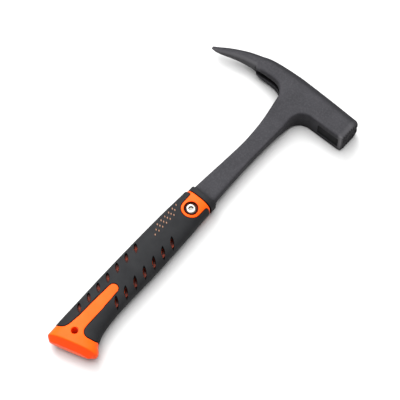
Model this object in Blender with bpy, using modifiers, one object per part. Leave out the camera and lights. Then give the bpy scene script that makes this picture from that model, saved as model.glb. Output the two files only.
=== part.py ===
"""Pick hammer with a one-piece forged head and shank and a two-colour moulded handle.

The hammer lies on its cheek: X runs from the pick to the striking face, Y from the
butt to the crown and Z through the thickness. Lengths are in millimetres in the
tables below and become metres where points are made.
"""

import math

import bmesh
import bpy
from mathutils import Vector

MM = 0.001
GAP = 0.3                   # clearance between pieces that touch

# Head: the forged bar from the pick's tip to the striking face
FACE_X = 60.5
POLL_UNDERSIDE_Y = 300.0
CHEEK_HALF = 12.5           # half the thickness of the poll
CROWN_ROUND = [(-95.5, 0.7), (-82.0, 3.0), (-62.0, 4.6), (-42.0, 5.8), (-30.0, 6.0), (FACE_X, 6.0)]
POLL_EDGE_ROUND = 1.8
CROWN_LINE = [(-95.5, 304.3), (-90.5, 307.1), (-82.0, 312.2), (-72.0, 317.1), (-62.0, 321.2),
              (-51.0, 324.2), (-41.0, 326.2), (-30.0, 327.5), (-15.0, 328.0), (0.0, 327.9),
              (30.0, 326.8), (60.5, 325.2)]
PICK_UNDERSIDE = [(-95.5, 302.6), (-90.5, 302.7), (-85.0, 304.2), (-75.0, 308.0),
                  (-66.0, 310.8), (-56.0, 312.8), (-48.0, 313.9)]
CLAW_UNDERSIDE = [(-48.0, 310.9), (-30.0, 310.5), (-24.0, 309.9), (-20.7, 308.8), (-17.5, 306.3),
                  (-14.8, 302.7), (-13.0, 300.0)]
HEAD_HALF_THICKNESS = [(-95.5, 0.8), (-90.5, 2.1), (-82.0, 3.7), (-72.0, 5.1), (-62.0, 6.2),
                       (-51.0, 7.3), (-46.0, 8.3), (-30.0, 9.8), (-20.0, 11.3), (-10.0, 12.35),
                       (-4.0, 12.48), (4.0, CHEEK_HALF), (12.0, CHEEK_HALF), (FACE_X, CHEEK_HALF)]
PICK_STATIONS = [-95.5, -93.5, -90.5, -86.0, -80.0, -73.0, -66.0, -58.0, -51.0, -48.01]
CLAW_STATIONS = [-48.0, -43.0, -37.0, -31.0, -26.0, -22.0, -19.0, -16.5, -14.6, -13.0]
POLL_STATIONS = [-8.0, -4.0, 10.0, 24.0, 40.0]
FACE_EDGE = [(57.0, 0.0, 0.0), (58.9, 0.4, 0.8), (59.9, 1.1, 1.8), (FACE_X, 2.2, 3.4)]
FACE_LEAN = 0.03            # how far the face leans back below the crown, per millimetre

# Nail-pulling claw: a slot in the underside of the pick's root
CLAW_SLOT_FLOOR = [(-51.0, 313.3), (-44.0, 315.6), (-36.0, 317.3), (-27.0, 317.6), (-20.0, 315.5),
                   (-16.2, 311.0), (-15.2, 306.0)]
CLAW_SLOT_HALF_FRONT = 4.0
CLAW_SLOT_HALF_BACK = 2.6
CLAW_SLOT_BOTTOM_Y = 296.0

# Magnetic nail holder: a groove along the crown, open at the face, with a stop at its back
GROOVE_HALF_WIDTH = 2.4
GROOVE_DEPTH = 4.2
GROOVE_START_X = 24.0
GROOVE_STOP_HALF = 4.5
GROOVE_STOP_LENGTH = 3.5
MAGNET_X = 44.0
MAGNET_RADIUS = 1.9
MAGNET_HEIGHT = 6.0

# Shallow pad forged into the underside of the poll
PAD_CENTRE_X = 44.0
PAD_SIZE = (23.0, 0.6, 13.0)

# Shank and tang: left edge, right edge, half thickness on the left and right, edge round, by height
TANG_END_Y = 56.0
SHANK = [(TANG_END_Y, -7.0, 5.0, 3.6, 3.6, 1.5), (60.0, -7.8, 5.8, 4.0, 4.0, 1.5),
         (110.0, -9.2, 7.2, 4.6, 4.6, 1.5), (150.0, -10.8, 8.8, 5.0, 5.0, 1.6),
         (174.0, -13.2, 10.0, 5.2, 5.2, 3.4), (184.0, -13.0, 9.9, 5.2, 5.2, 3.4),
         (200.0, -11.7, 9.0, 5.0, 5.0, 2.6), (215.0, -10.4, 8.5, 5.0, 5.0, 1.9),
         (230.0, -9.3, 8.2, 5.0, 5.0, 1.6), (246.0, -8.5, 8.4, 5.0, 5.0, 1.5),
         (260.0, -9.0, 8.8, 5.1, 5.2, 1.5), (270.0, -9.7, 9.3, 5.5, 5.9, 1.6),
         (278.0, -10.6, 9.9, 6.2, 7.1, 1.8)]
SHANK_FILLET_RADIUS = 13.5
SHANK_FILLET_Y = [286.0, 290.0, 293.5, 296.4, 298.4, 299.5]
SHANK_ROOT_Y = 306.0
SHANK_LEFT_AT_HEAD = [(278.0, -10.6), (286.0, -11.5), (296.0, -12.6), (SHANK_ROOT_Y, -12.8)]
SHANK_THICK_AT_LEFT = [(278.0, 6.2), (290.0, 9.3), (300.0, 12.0), (SHANK_ROOT_Y, 11.4)]
SHANK_THICK_AT_RIGHT = [(278.0, 7.1), (290.0, 10.5), (300.0, 12.4), (SHANK_ROOT_Y, 12.2)]

# Handle outline: height on the screw's axis, left edge, right edge, half thickness, end slope
HANDLE = [(-2.0, -17.9, 27.6, 12.8, 0.30), (3.0, -18.0, 26.3, 12.8, 0.29),
          (8.0, -18.1, 23.2, 12.5, 0.24), (15.0, -18.3, 19.8, 12.35, 0.17),
          (25.0, -18.4, 16.8, 12.3, 0.09), (40.0, -18.5, 14.7, 12.25, 0.03),
          (60.0, -18.8, 14.1, 12.2, 0.0), (100.0, -18.7, 14.6, 12.2, 0.0),
          (140.0, -17.9, 13.7, 11.9, 0.0), (168.0, -16.6, 12.7, 11.6, 0.0), (178.0, -16.2, 12.3, 11.5, 0.0)]
HANDLE_STATIONS = [4.0, 8.0, 13.0, 19.0, 26.0, 36.0, 50.0, 68.0, 90.0, 115.0, 140.0, 160.0]
BUTT_EDGE = [(-5.6, 9.5), (-4.9, 5.5), (-3.6, 2.6), (-1.9, 1.0), (0.4, 0.2)]
HANDLE_SIDES = 40
HANDLE_SQUARENESS = 2.6
GRIP_TOP_Y = 172.0
CORE_TOP_Y = 174.2
CORE_NECK_INSET = 1.0
GRIP_THICKNESS = 2.2
PANEL_SINK = 0.3            # the hard core's panels lie this far below the soft grip

# Hard panels that show through the soft grip
SCREW_AT = (0.4, 161.2)
ESCUTCHEON_RADIUS = 9.0
ESCUTCHEON_SHOULDER = 2.2
STRIPE_TOP = (-0.8, 60.9)
STRIPE_TOP_RADIUS = 4.4
STRIPE_LEFT = [(-6.0, 40.0), (-6.3, 24.0), (-6.9, 18.0), (-7.5, 14.0), (-8.3, 11.0), (-9.7, 8.5),
               (-12.4, 6.7), (-15.9, 5.7), (-30.0, 3.0)]
STRIPE_RIGHT = [(4.6, 40.0), (5.0, 20.0), (5.6, 16.6), (7.6, 14.0), (10.8, 12.9), (14.1, 13.5),
                (19.0, 15.5), (20.2, 17.4), (22.0, 19.5), (40.0, 30.0)]

# Lens-shaped windows through the soft grip
WINDOW_LENGTH = 9.5
WINDOW_WIDTH = 2.4
WINDOW_SLANT = math.radians(-42.0)
WINDOW_PITCH = 12.15
WINDOW_COUNT = 7
WINDOW_COLUMNS = [(-12.0, 28.6), (10.2, 52.1)]
WINDOW_FLOOR_Z = 6.4

# Lanyard hole, collar, screw and sleeve nut
LANYARD_AT = (0.0, 10.0)
LANYARD_RADIUS = 3.2
COLLAR = [(174.5, -15.0, 12.8, 11.3, 0.0), (179.2, -15.0, 12.8, 11.3, 0.7),
          (181.0, -14.6, 12.4, 10.9, 1.8), (182.0, -13.5, 11.3, 9.9, 2.8)]
COLLAR_SIDES = 36
HEAD_RADIUS = 5.25
HEAD_UNDERSIDE_Z = 8.3
HEAD_TOP_Z = 10.9
HEAD_RECESS_RADIUS = 6.25
SCREW_RADIUS = 3.0
SCREW_END_Z = -6.0
NUT_RADIUS = 4.2
NUT_END_Z = 6.6
NUT_BORE_END_Z = -6.8
SOCKET_RADIUS = 2.3
SOCKET_DEPTH = 1.9
ROUND_SIDES = 32

STEEL = (0.105, 0.102, 0.118)
RUBBER = (0.021, 0.022, 0.023)
ORANGE = (0.90, 0.155, 0.035)
ZINC = (0.62, 0.60, 0.56)
MAGNET = (0.30, 0.30, 0.31)


def clear_scene():
    for thing in list(bpy.data.objects):
        bpy.data.objects.remove(thing, do_unlink=True)


def new_collection(name):
    collection = bpy.data.collections.new(name)
    bpy.context.scene.collection.children.link(collection)
    return collection


def smooth_value(table, at):
    """Value at a station, on a cubic through the table's (station, value) pairs."""
    if at <= table[0][0]:
        return table[0][1]
    if at >= table[-1][0]:
        return table[-1][1]
    last = len(table) - 1
    slopes = []
    for i in range(len(table)):
        before = table[max(i - 1, 0)]
        after = table[min(i + 1, last)]
        slopes.append((after[1] - before[1]) / (after[0] - before[0]))
    i = max(k for k in range(last) if table[k][0] <= at)
    x0, y0 = table[i]
    x1, y1 = table[i + 1]
    span = x1 - x0
    t = (at - x0) / span
    start = (2 * t**3 - 3 * t**2 + 1) * y0 + (t**3 - 2 * t**2 + t) * span * slopes[i]
    return start + (3 * t**2 - 2 * t**3) * y1 + (t**3 - t**2) * span * slopes[i + 1]


def smooth_row(rows, at):
    """Every column of a table of rows at a station, the first column being the station."""
    return [smooth_value([(row[0], row[k]) for row in rows], at) for k in range(1, len(rows[0]))]


def object_from_mesh(name, bm, collection, frame):
    mesh = bpy.data.meshes.new(name)
    bm.to_mesh(mesh)
    bm.free()
    thing = bpy.data.objects.new(name, mesh)
    thing.parent = frame
    collection.objects.link(thing)
    return thing


def loft(name, rings, collection, frame):
    """A closed skin over rings with the same number of points, with flat ends."""
    bm = bmesh.new()
    loops = [[bm.verts.new(Vector(point) * MM) for point in ring] for ring in rings]
    count = len(loops[0])
    for lower, upper in zip(loops, loops[1:]):
        for k in range(count):
            after = (k + 1) % count
            bm.faces.new((lower[k], lower[after], upper[after], upper[k]))
    bm.faces.new(loops[0])
    bm.faces.new(loops[-1])
    bmesh.ops.recalc_face_normals(bm, faces=bm.faces)
    return object_from_mesh(name, bm, collection, frame)


def plate(name, outline, low_z, high_z, collection, frame):
    """A flat outline in X and Y as a closed plate between two heights."""
    curve = bpy.data.curves.new(name + "_outline", "CURVE")
    curve.dimensions = "2D"
    curve.fill_mode = "BOTH"
    curve.extrude = (high_z - low_z) / 2 * MM
    spline = curve.splines.new("POLY")
    spline.points.add(len(outline) - 1)
    spline.use_cyclic_u = True
    for point, (x, y) in zip(spline.points, outline):
        point.co = (x * MM, y * MM, 0.0, 1.0)
    drawn = bpy.data.objects.new(name + "_outline", curve)
    collection.objects.link(drawn)
    graph = bpy.context.evaluated_depsgraph_get()
    mesh = bpy.data.meshes.new_from_object(drawn.evaluated_get(graph))
    bpy.data.objects.remove(drawn, do_unlink=True)
    bm = bmesh.new()
    bm.from_mesh(mesh)
    bmesh.ops.remove_doubles(bm, verts=bm.verts, dist=0.000001)
    bmesh.ops.translate(bm, verts=bm.verts, vec=(0.0, 0.0, (high_z + low_z) / 2 * MM))
    bmesh.ops.recalc_face_normals(bm, faces=bm.faces)
    return object_from_mesh(name, bm, collection, frame)


def cylinder(name, radius, low_z, high_z, at, collection, frame, sides=ROUND_SIDES):
    bm = bmesh.new()
    bmesh.ops.create_cone(bm, cap_ends=True, segments=sides, radius1=radius * MM, radius2=radius * MM,
                          depth=(high_z - low_z) * MM)
    bmesh.ops.translate(bm, verts=bm.verts, vec=Vector((at[0], at[1], (high_z + low_z) / 2)) * MM)
    return object_from_mesh(name, bm, collection, frame)


def box(name, size, centre, collection, frame):
    bm = bmesh.new()
    bmesh.ops.create_cube(bm, size=MM)
    bmesh.ops.scale(bm, vec=size, verts=bm.verts)
    bmesh.ops.translate(bm, verts=bm.verts, vec=Vector(centre) * MM)
    return object_from_mesh(name, bm, collection, frame)


def turned(name, profile, at, collection, frame):
    """A profile of (radius, height) pairs, top to bottom, turned about a vertical axis."""
    bm = bmesh.new()
    points = [bm.verts.new(Vector((radius, 0.0, height)) * MM) for radius, height in profile]
    for above, below in zip(points, points[1:]):
        bm.edges.new((above, below))
    thing = object_from_mesh(name, bm, collection, frame)
    thing.location = Vector((at[0], at[1], 0.0)) * MM
    screw = thing.modifiers.new("turn", "SCREW")
    screw.axis = "Z"
    screw.steps = ROUND_SIDES
    screw.render_steps = ROUND_SIDES
    screw.use_merge_vertices = True
    screw.merge_threshold = 0.00001
    return thing


def combine(thing, operation, *others):
    for other in others:
        step = thing.modifiers.new(operation.lower() + "_" + other.name, "BOOLEAN")
        step.operation = operation
        step.solver = "EXACT"
        step.object = other
        other.display_type = "WIRE"
        other.hide_render = True


def finish(thing, colour, metallic, roughness):
    """Give a piece its own material and shade its round faces smooth."""
    material = bpy.data.materials.new(thing.name)
    material.use_nodes = True
    shader = material.node_tree.nodes["Principled BSDF"]
    shader.inputs["Base Color"].default_value = (*colour, 1.0)
    shader.inputs["Metallic"].default_value = metallic
    shader.inputs["Roughness"].default_value = roughness
    thing.data.materials.append(material)
    thing.data.shade_smooth()
    thing.data.set_sharp_from_angle(angle=math.radians(35.0))


def corner(centre_a, centre_b, radius_a, radius_b, start, steps):
    """Points along a quarter ellipse, from a start angle counted in quarter turns."""
    points = []
    for k in range(steps + 1):
        angle = math.pi / 2 * (start + k / steps)
        points.append((centre_a + radius_a * math.cos(angle), centre_b + radius_b * math.sin(angle)))
    return points


def bar_ring(x, low_y, high_y, half, top_round, low_round):
    """Section of the head bar at x: a rectangle in Z and Y with rounded corners."""
    top_z, top_y = top_round
    low_z, low_rise = low_round
    points = corner(half - top_z, high_y - top_y, top_z, top_y, 0, 4)
    points += corner(-half + top_z, high_y - top_y, top_z, top_y, 1, 4)
    points += corner(-half + low_z, low_y + low_rise, low_z, low_rise, 2, 2)
    points += corner(half - low_z, low_y + low_rise, low_z, low_rise, 3, 2)
    return [(x, y, z) for z, y in points]


def head_ring(x, low_y, inset=0.0, crown_drop=0.0):
    half = smooth_value(HEAD_HALF_THICKNESS, x) - inset
    low_y += inset
    high_y = smooth_value(CROWN_LINE, x) - crown_drop
    crown_round = smooth_value(CROWN_ROUND, x)
    top_round = (min(crown_round, 0.72 * half), crown_round)
    low_round = (min(POLL_EDGE_ROUND, 0.5 * half), min(POLL_EDGE_ROUND, 0.25 * (high_y - low_y)))
    return bar_ring(x, low_y, high_y, half, top_round, low_round)


def make_head_bar(collection, frame):
    rings = [head_ring(x, smooth_value(PICK_UNDERSIDE, x)) for x in PICK_STATIONS]
    rings += [head_ring(x, smooth_value(CLAW_UNDERSIDE, x)) for x in CLAW_STATIONS]
    rings += [head_ring(x, POLL_UNDERSIDE_Y) for x in POLL_STATIONS]
    crown = smooth_value(CROWN_LINE, FACE_X)
    for x, inset, drop in FACE_EDGE:
        ring = head_ring(x, POLL_UNDERSIDE_Y, inset, drop)
        rings.append([(px - FACE_LEAN * (crown - y), y, z) for px, y, z in ring])
    return loft("forged_head", rings, collection, frame)


def shank_ring(y, left, right, half_left, half_right, edge):
    """Section of the shank at y, thicker on one side than on the other near the head."""
    points = corner(right - edge, half_right - edge, edge, edge, 0, 3)
    points += corner(left + edge, half_left - edge, edge, edge, 1, 3)
    points += corner(left + edge, edge - half_left, edge, edge, 2, 3)
    points += corner(right - edge, edge - half_right, edge, edge, 3, 3)
    return [(x, y, z) for x, z in points]


def make_shank(collection, frame):
    rings = [shank_ring(*row) for row in SHANK]
    centre_x = SHANK[-1][2] + 0.4 + SHANK_FILLET_RADIUS
    centre_y = POLL_UNDERSIDE_Y - SHANK_FILLET_RADIUS
    for y in SHANK_FILLET_Y + [SHANK_ROOT_Y]:
        rise = min(max(y - centre_y, 0.0), SHANK_FILLET_RADIUS)
        right = centre_x - math.sqrt(SHANK_FILLET_RADIUS**2 - rise**2)
        rings.append(shank_ring(y, smooth_value(SHANK_LEFT_AT_HEAD, y), right,
                                smooth_value(SHANK_THICK_AT_LEFT, y),
                                smooth_value(SHANK_THICK_AT_RIGHT, y), 1.8))
    return loft("shank", rings, collection, frame)


def make_tang_clearance(collection, frame):
    """The tang grown by the gap, for the pieces that close round it."""
    rings = []
    for y, left, right, half_left, half_right, edge in SHANK[:7]:
        y = y - GAP if y == TANG_END_Y else y
        rings.append(shank_ring(y, left - GAP, right + GAP, half_left + GAP, half_right + GAP,
                                edge + GAP))
    return loft("tang_clearance", rings, collection, frame)


def make_claw_slot(collection, frame):
    rings = []
    first = CLAW_SLOT_FLOOR[0][0]
    length = CLAW_SLOT_FLOOR[-1][0] - first
    for x, floor in CLAW_SLOT_FLOOR:
        along = (x - first) / length
        half = CLAW_SLOT_HALF_FRONT + (CLAW_SLOT_HALF_BACK - CLAW_SLOT_HALF_FRONT) * along
        low = CLAW_SLOT_BOTTOM_Y
        rings.append([(x, low, -half), (x, low, half), (x, floor, half), (x, floor, -half)])
    return loft("claw_slot", rings, collection, frame)


def make_groove(collection, frame):
    """Round-bottomed channel along the crown with a wider stop for the nail's head."""
    rings = []
    for x, half in [(GROOVE_START_X, GROOVE_STOP_HALF),
                    (GROOVE_START_X + GROOVE_STOP_LENGTH, GROOVE_STOP_HALF),
                    (GROOVE_START_X + GROOVE_STOP_LENGTH, GROOVE_HALF_WIDTH),
                    (FACE_X + 2.0, GROOVE_HALF_WIDTH)]:
        crown = smooth_value(CROWN_LINE, x)
        floor = crown - GROOVE_DEPTH
        arc = [(x, floor + half * 0.5 * (1.0 - math.cos(a)), half * math.sin(a))
               for a in [math.pi / 2 * k / 4 for k in range(-4, 5)]]
        rings.append(arc + [(x, crown + 4.0, half), (x, crown + 4.0, -half)])
    return loft("nail_groove", rings, collection, frame)


def stand_along_y(thing, x, y):
    """Lay a vertical turned shape along +Y with its foot at x, y."""
    thing.rotation_euler = (-math.pi / 2, 0.0, 0.0)
    thing.location = Vector((x, y, 0.0)) * MM


def make_forged_head(parts, cutters, frame):
    head = make_head_bar(parts, frame)
    floor = smooth_value(CROWN_LINE, MAGNET_X) - GROOVE_DEPTH
    seat = cylinder("magnet_seat", MAGNET_RADIUS + GAP, -MAGNET_HEIGHT - GAP, 2.0, (0.0, 0.0),
                    cutters, frame)
    stand_along_y(seat, MAGNET_X, floor)
    pad = box("poll_pad", (PAD_SIZE[0], 2 * PAD_SIZE[1], PAD_SIZE[2]),
              (PAD_CENTRE_X, POLL_UNDERSIDE_Y, 0.0), cutters, frame)
    bolt_hole = cylinder("tang_hole", NUT_RADIUS + GAP, -20.0, 20.0, SCREW_AT, cutters, frame)
    combine(head, "UNION", make_shank(cutters, frame))
    combine(head, "DIFFERENCE", make_claw_slot(cutters, frame), make_groove(cutters, frame), seat, pad,
            bolt_hole)
    finish(head, STEEL, 0.85, 0.42)
    return head


def make_nail_magnet(parts, frame):
    """Small round magnet sunk in the floor of the nail groove."""
    floor = smooth_value(CROWN_LINE, MAGNET_X) - GROOVE_DEPTH
    magnet = turned("nail_magnet", [(0.0, 0.0), (MAGNET_RADIUS - 0.3, 0.0), (MAGNET_RADIUS, -0.3),
                                    (MAGNET_RADIUS, -MAGNET_HEIGHT), (0.0, -MAGNET_HEIGHT)],
                    (0.0, 0.0), parts, frame)
    stand_along_y(magnet, MAGNET_X, floor)
    finish(magnet, MAGNET, 1.0, 0.35)
    return magnet


def handle_ring(y, inset):
    left, right, half, slope = smooth_row(HANDLE, y)
    centre = (left + right) / 2
    wide = (right - left) / 2 - inset
    thick = half - inset
    ring = []
    for k in range(HANDLE_SIDES):
        angle = 2 * math.pi * k / HANDLE_SIDES
        across = math.copysign(abs(math.cos(angle)) ** (2 / HANDLE_SQUARENESS), math.cos(angle))
        through = math.copysign(abs(math.sin(angle)) ** (2 / HANDLE_SQUARENESS), math.sin(angle))
        x = centre + wide * across
        ring.append((x, y + slope * x, thick * through))
    return ring


def handle_rings(inset, top):
    rings = [handle_ring(y + inset, inset + extra) for y, extra in BUTT_EDGE]
    rings += [handle_ring(y, inset) for y in HANDLE_STATIONS]
    rings.append(handle_ring(top, inset))
    return rings


def escutcheon_outline(grow):
    """Panel round the screw: a half circle below, and sides that flare at the neck."""
    x, y = SCREW_AT
    radius = ESCUTCHEON_RADIUS + grow
    points = [(x + radius * math.cos(a), y + radius * math.sin(a))
              for a in [-math.pi * k / 16 for k in range(17)]]
    shoulder = ESCUTCHEON_SHOULDER - grow
    for side in (-1, 1):
        centre = (x + side * (radius + shoulder), GRIP_TOP_Y - ESCUTCHEON_SHOULDER)
        flare = [(centre[0] - side * shoulder * math.cos(a), centre[1] + shoulder * math.sin(a))
                 for a in [math.pi / 2 * k / 4 for k in range(5)]]
        flare.append((centre[0], CORE_TOP_Y + 6.0))
        points = points + flare if side < 0 else points + flare[::-1]
    return points


def stripe_outline(grow):
    """Stripe up the cheek that widens into the whole butt."""
    x, y = STRIPE_TOP
    radius = STRIPE_TOP_RADIUS + grow
    points = [(x + radius * math.cos(a), y + radius * math.sin(a))
              for a in [math.pi * k / 10 for k in range(11)]]
    points += offset_line(STRIPE_LEFT, grow, -1)
    points += [(STRIPE_LEFT[-1][0], -40.0), (STRIPE_RIGHT[-1][0], -40.0)]
    points += offset_line(STRIPE_RIGHT, grow, 1)[::-1]
    return points


def offset_line(points, grow, side):
    """A line of points moved sideways by a distance, to the left or the right of the stripe."""
    moved = []
    for i, (x, y) in enumerate(points):
        before = points[max(i - 1, 0)]
        after = points[min(i + 1, len(points) - 1)]
        along = Vector((after[0] - before[0], after[1] - before[1])).normalized()
        moved.append((x - side * along.y * grow, y + side * along.x * grow))
    return moved


def window_outline(x, y):
    """A pointed lens, slanted down towards the striking face."""
    points = []
    for k in range(12):
        angle = 2 * math.pi * k / 12
        along = WINDOW_LENGTH / 2 * math.cos(angle)
        across = WINDOW_WIDTH / 2 * math.sin(angle) * abs(math.sin(angle)) ** 0.5
        points.append((x + along * math.cos(WINDOW_SLANT) - across * math.sin(WINDOW_SLANT),
                       y + along * math.sin(WINDOW_SLANT) + across * math.cos(WINDOW_SLANT)))
    return points


def make_windows(cutters, frame):
    windows = []
    for column, (x, first) in enumerate(WINDOW_COLUMNS):
        for i in range(WINDOW_COUNT):
            outline = window_outline(x, first + i * WINDOW_PITCH)
            for side, low, high in [("top", WINDOW_FLOOR_Z, 16.0), ("under", -16.0, -WINDOW_FLOOR_Z)]:
                name = "window_%s_%d_%d" % (side, column, i)
                windows.append(plate(name, outline, low, high, cutters, frame))
    return windows


def make_handle_core(parts, cutters, frame):
    rings = handle_rings(GRIP_THICKNESS, GRIP_TOP_Y + GAP)
    rings.append(handle_ring(GRIP_TOP_Y + GAP, CORE_NECK_INSET))
    rings.append(handle_ring(CORE_TOP_Y, CORE_NECK_INSET))
    core = loft("handle_core", rings, parts, frame)

    skin = loft("panel_skin", handle_rings(PANEL_SINK, CORE_TOP_Y - 0.5), cutters, frame)
    skin_copy = loft("butt_skin", handle_rings(PANEL_SINK, CORE_TOP_Y - 0.5), cutters, frame)
    combine(skin, "INTERSECT", plate("escutcheon", escutcheon_outline(0.0), -20.0, 20.0, cutters, frame))
    combine(skin_copy, "INTERSECT", plate("stripe", stripe_outline(0.0), -20.0, 20.0, cutters, frame))
    combine(core, "UNION", skin, skin_copy)

    combine(core, "DIFFERENCE", make_tang_clearance(cutters, frame))
    combine(core, "DIFFERENCE",
            cylinder("sleeve_hole", NUT_RADIUS + GAP, -20.0, 20.0, SCREW_AT, cutters, frame),
            cylinder("head_recess", HEAD_RECESS_RADIUS, HEAD_UNDERSIDE_Z - GAP, 20.0, SCREW_AT, cutters,
                     frame),
            cylinder("nut_recess", HEAD_RECESS_RADIUS, -20.0, GAP - HEAD_UNDERSIDE_Z, SCREW_AT, cutters,
                     frame),
            cylinder("lanyard_hole", LANYARD_RADIUS, -20.0, 20.0, LANYARD_AT, cutters, frame))
    finish(core, ORANGE, 0.0, 0.38)
    return core


def make_soft_grip(parts, cutters, frame):
    grip = loft("soft_grip", handle_rings(0.0, GRIP_TOP_Y), parts, frame)
    inside = loft("grip_inside", handle_rings(GRIP_THICKNESS - GAP, CORE_TOP_Y + 4.0), cutters, frame)
    combine(grip, "DIFFERENCE", inside,
            plate("escutcheon_opening", escutcheon_outline(GAP), -20.0, 20.0, cutters, frame),
            plate("stripe_opening", stripe_outline(GAP), -20.0, 20.0, cutters, frame),
            *make_windows(cutters, frame))
    finish(grip, RUBBER, 0.0, 0.62)
    return grip


def make_shank_collar(parts, cutters, frame):
    """Soft collar over the top of the core, its upper edge dipping over each cheek."""
    rings = []
    for y, left, right, half, dip in COLLAR:
        centre = (left + right) / 2
        wide = (right - left) / 2
        ring = []
        for k in range(COLLAR_SIDES):
            angle = 2 * math.pi * k / COLLAR_SIDES
            across = math.copysign(abs(math.cos(angle)) ** (2 / HANDLE_SQUARENESS), math.cos(angle))
            through = math.copysign(abs(math.sin(angle)) ** (2 / HANDLE_SQUARENESS), math.sin(angle))
            ring.append((centre + wide * across, y - dip * through**2, half * through))
        rings.append(ring)
    collar = loft("shank_collar", rings, parts, frame)
    hole_rings = [shank_ring(row[0], row[1] - GAP, row[2] + GAP, row[3] + GAP, row[4] + GAP,
                             row[5] + GAP) for row in SHANK[3:7]]
    combine(collar, "DIFFERENCE", loft("collar_hole", hole_rings, cutters, frame))
    finish(collar, RUBBER, 0.0, 0.5)
    return collar


def head_profile(top, underside):
    """Domed head, from the axis outwards and down to its underside."""
    rim = top - 1.5
    profile = [(0.0, top)]
    for k in range(1, 5):
        angle = math.pi / 2 * k / 4
        profile.append((HEAD_RADIUS * math.sin(angle), rim + (top - rim) * math.cos(angle)))
    profile.append((HEAD_RADIUS, underside))
    return profile


def make_clamp_screw(parts, cutters, frame):
    profile = head_profile(HEAD_TOP_Z, HEAD_UNDERSIDE_Z)
    profile += [(SCREW_RADIUS, HEAD_UNDERSIDE_Z), (SCREW_RADIUS, SCREW_END_Z + 0.6),
                (SCREW_RADIUS - 0.6, SCREW_END_Z), (0.0, SCREW_END_Z)]
    screw = turned("clamp_screw", profile, SCREW_AT, parts, frame)
    combine(screw, "DIFFERENCE", cylinder("screw_socket", SOCKET_RADIUS, HEAD_TOP_Z - SOCKET_DEPTH, 20.0,
                                          SCREW_AT, cutters, frame, sides=6))
    finish(screw, ZINC, 1.0, 0.3)
    return screw


def make_sleeve_nut(parts, cutters, frame):
    profile = [(SCREW_RADIUS + GAP, NUT_END_Z), (NUT_RADIUS, NUT_END_Z),
               (NUT_RADIUS, -HEAD_UNDERSIDE_Z)]
    profile += [(radius, -height) for radius, height in head_profile(HEAD_TOP_Z, HEAD_UNDERSIDE_Z)][::-1]
    profile = [(0.0, NUT_BORE_END_Z), (SCREW_RADIUS + GAP, NUT_BORE_END_Z)] + profile
    nut = turned("sleeve_nut", profile, SCREW_AT, parts, frame)
    combine(nut, "DIFFERENCE", cylinder("nut_socket", SOCKET_RADIUS, -20.0, SOCKET_DEPTH - HEAD_TOP_Z,
                                        SCREW_AT, cutters, frame, sides=6))
    finish(nut, ZINC, 1.0, 0.3)
    return nut


def rest_on_floor(pieces, frame):
    """Move the frame so the hammer lies on Z = 0 with its outline centred on the origin."""
    bpy.context.view_layer.update()
    graph = bpy.context.evaluated_depsgraph_get()
    points = []
    for piece in pieces:
        shape = piece.evaluated_get(graph)
        points += [shape.matrix_world @ Vector(point) for point in shape.bound_box]
    low = Vector([min(point[axis] for point in points) for axis in range(3)])
    high = Vector([max(point[axis] for point in points) for axis in range(3)])
    frame.location = Vector((-(low.x + high.x) / 2, -(low.y + high.y) / 2, -low.z))
    bpy.context.view_layer.update()


def main():
    clear_scene()
    parts = new_collection("pick_hammer")
    cutters = new_collection("cutters")
    frame = bpy.data.objects.new("hammer_frame", None)
    parts.objects.link(frame)
    pieces = [make_forged_head(parts, cutters, frame), make_nail_magnet(parts, frame),
              make_handle_core(parts, cutters, frame), make_soft_grip(parts, cutters, frame),
              make_shank_collar(parts, cutters, frame), make_clamp_screw(parts, cutters, frame),
              make_sleeve_nut(parts, cutters, frame)]
    rest_on_floor(pieces, frame)


main()
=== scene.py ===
"""Looks of the pick hammer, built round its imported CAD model.

Every piece is modelled in millimetres from the hammer's own origin: X towards the striking
face, Y along the handle to the crown, and Z through the thickness. Zero is on the handle's
middle line, 10 mm below the lanyard hole, and at mid thickness. Each piece is then put where
the CAD model says.
"""

import math

import bmesh
import bpy
from mathutils import Matrix, Vector


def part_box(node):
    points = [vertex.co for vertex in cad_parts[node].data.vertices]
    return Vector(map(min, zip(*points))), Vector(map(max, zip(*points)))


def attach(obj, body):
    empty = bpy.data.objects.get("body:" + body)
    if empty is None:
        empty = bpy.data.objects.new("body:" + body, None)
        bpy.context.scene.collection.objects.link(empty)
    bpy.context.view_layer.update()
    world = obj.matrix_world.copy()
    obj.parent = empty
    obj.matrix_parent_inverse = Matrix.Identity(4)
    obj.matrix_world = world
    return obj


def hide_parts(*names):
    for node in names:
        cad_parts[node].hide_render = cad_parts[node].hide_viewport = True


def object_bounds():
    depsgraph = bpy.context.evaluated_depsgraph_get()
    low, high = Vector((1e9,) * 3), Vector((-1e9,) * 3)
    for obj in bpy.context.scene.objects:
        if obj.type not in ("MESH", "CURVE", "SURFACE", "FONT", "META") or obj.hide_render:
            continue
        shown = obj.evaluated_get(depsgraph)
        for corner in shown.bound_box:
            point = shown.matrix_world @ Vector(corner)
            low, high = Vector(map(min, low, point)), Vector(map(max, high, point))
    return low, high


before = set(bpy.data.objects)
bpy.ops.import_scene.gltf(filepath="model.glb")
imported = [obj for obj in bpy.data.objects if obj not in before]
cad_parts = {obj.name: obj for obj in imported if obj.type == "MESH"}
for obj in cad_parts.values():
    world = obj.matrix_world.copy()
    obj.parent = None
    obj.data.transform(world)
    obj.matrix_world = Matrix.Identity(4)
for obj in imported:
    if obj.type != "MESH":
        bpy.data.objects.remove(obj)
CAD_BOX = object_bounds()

MM = 0.001
GAP = 0.3  # clearance between pieces that touch
SCREW_AT = (0.4, 161.2)
CUT_Z = 20.0  # cuts right through run from minus this height to this height
CUT_PAST = 2.0  # how far a cutter stands out of the surface that it cuts
NEXT = 0.01  # distance between two rings that make a step
FINE_VOXEL = 0.5  # grain of the last remesh of the large pieces
FINE_ROUNDS = 2

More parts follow.
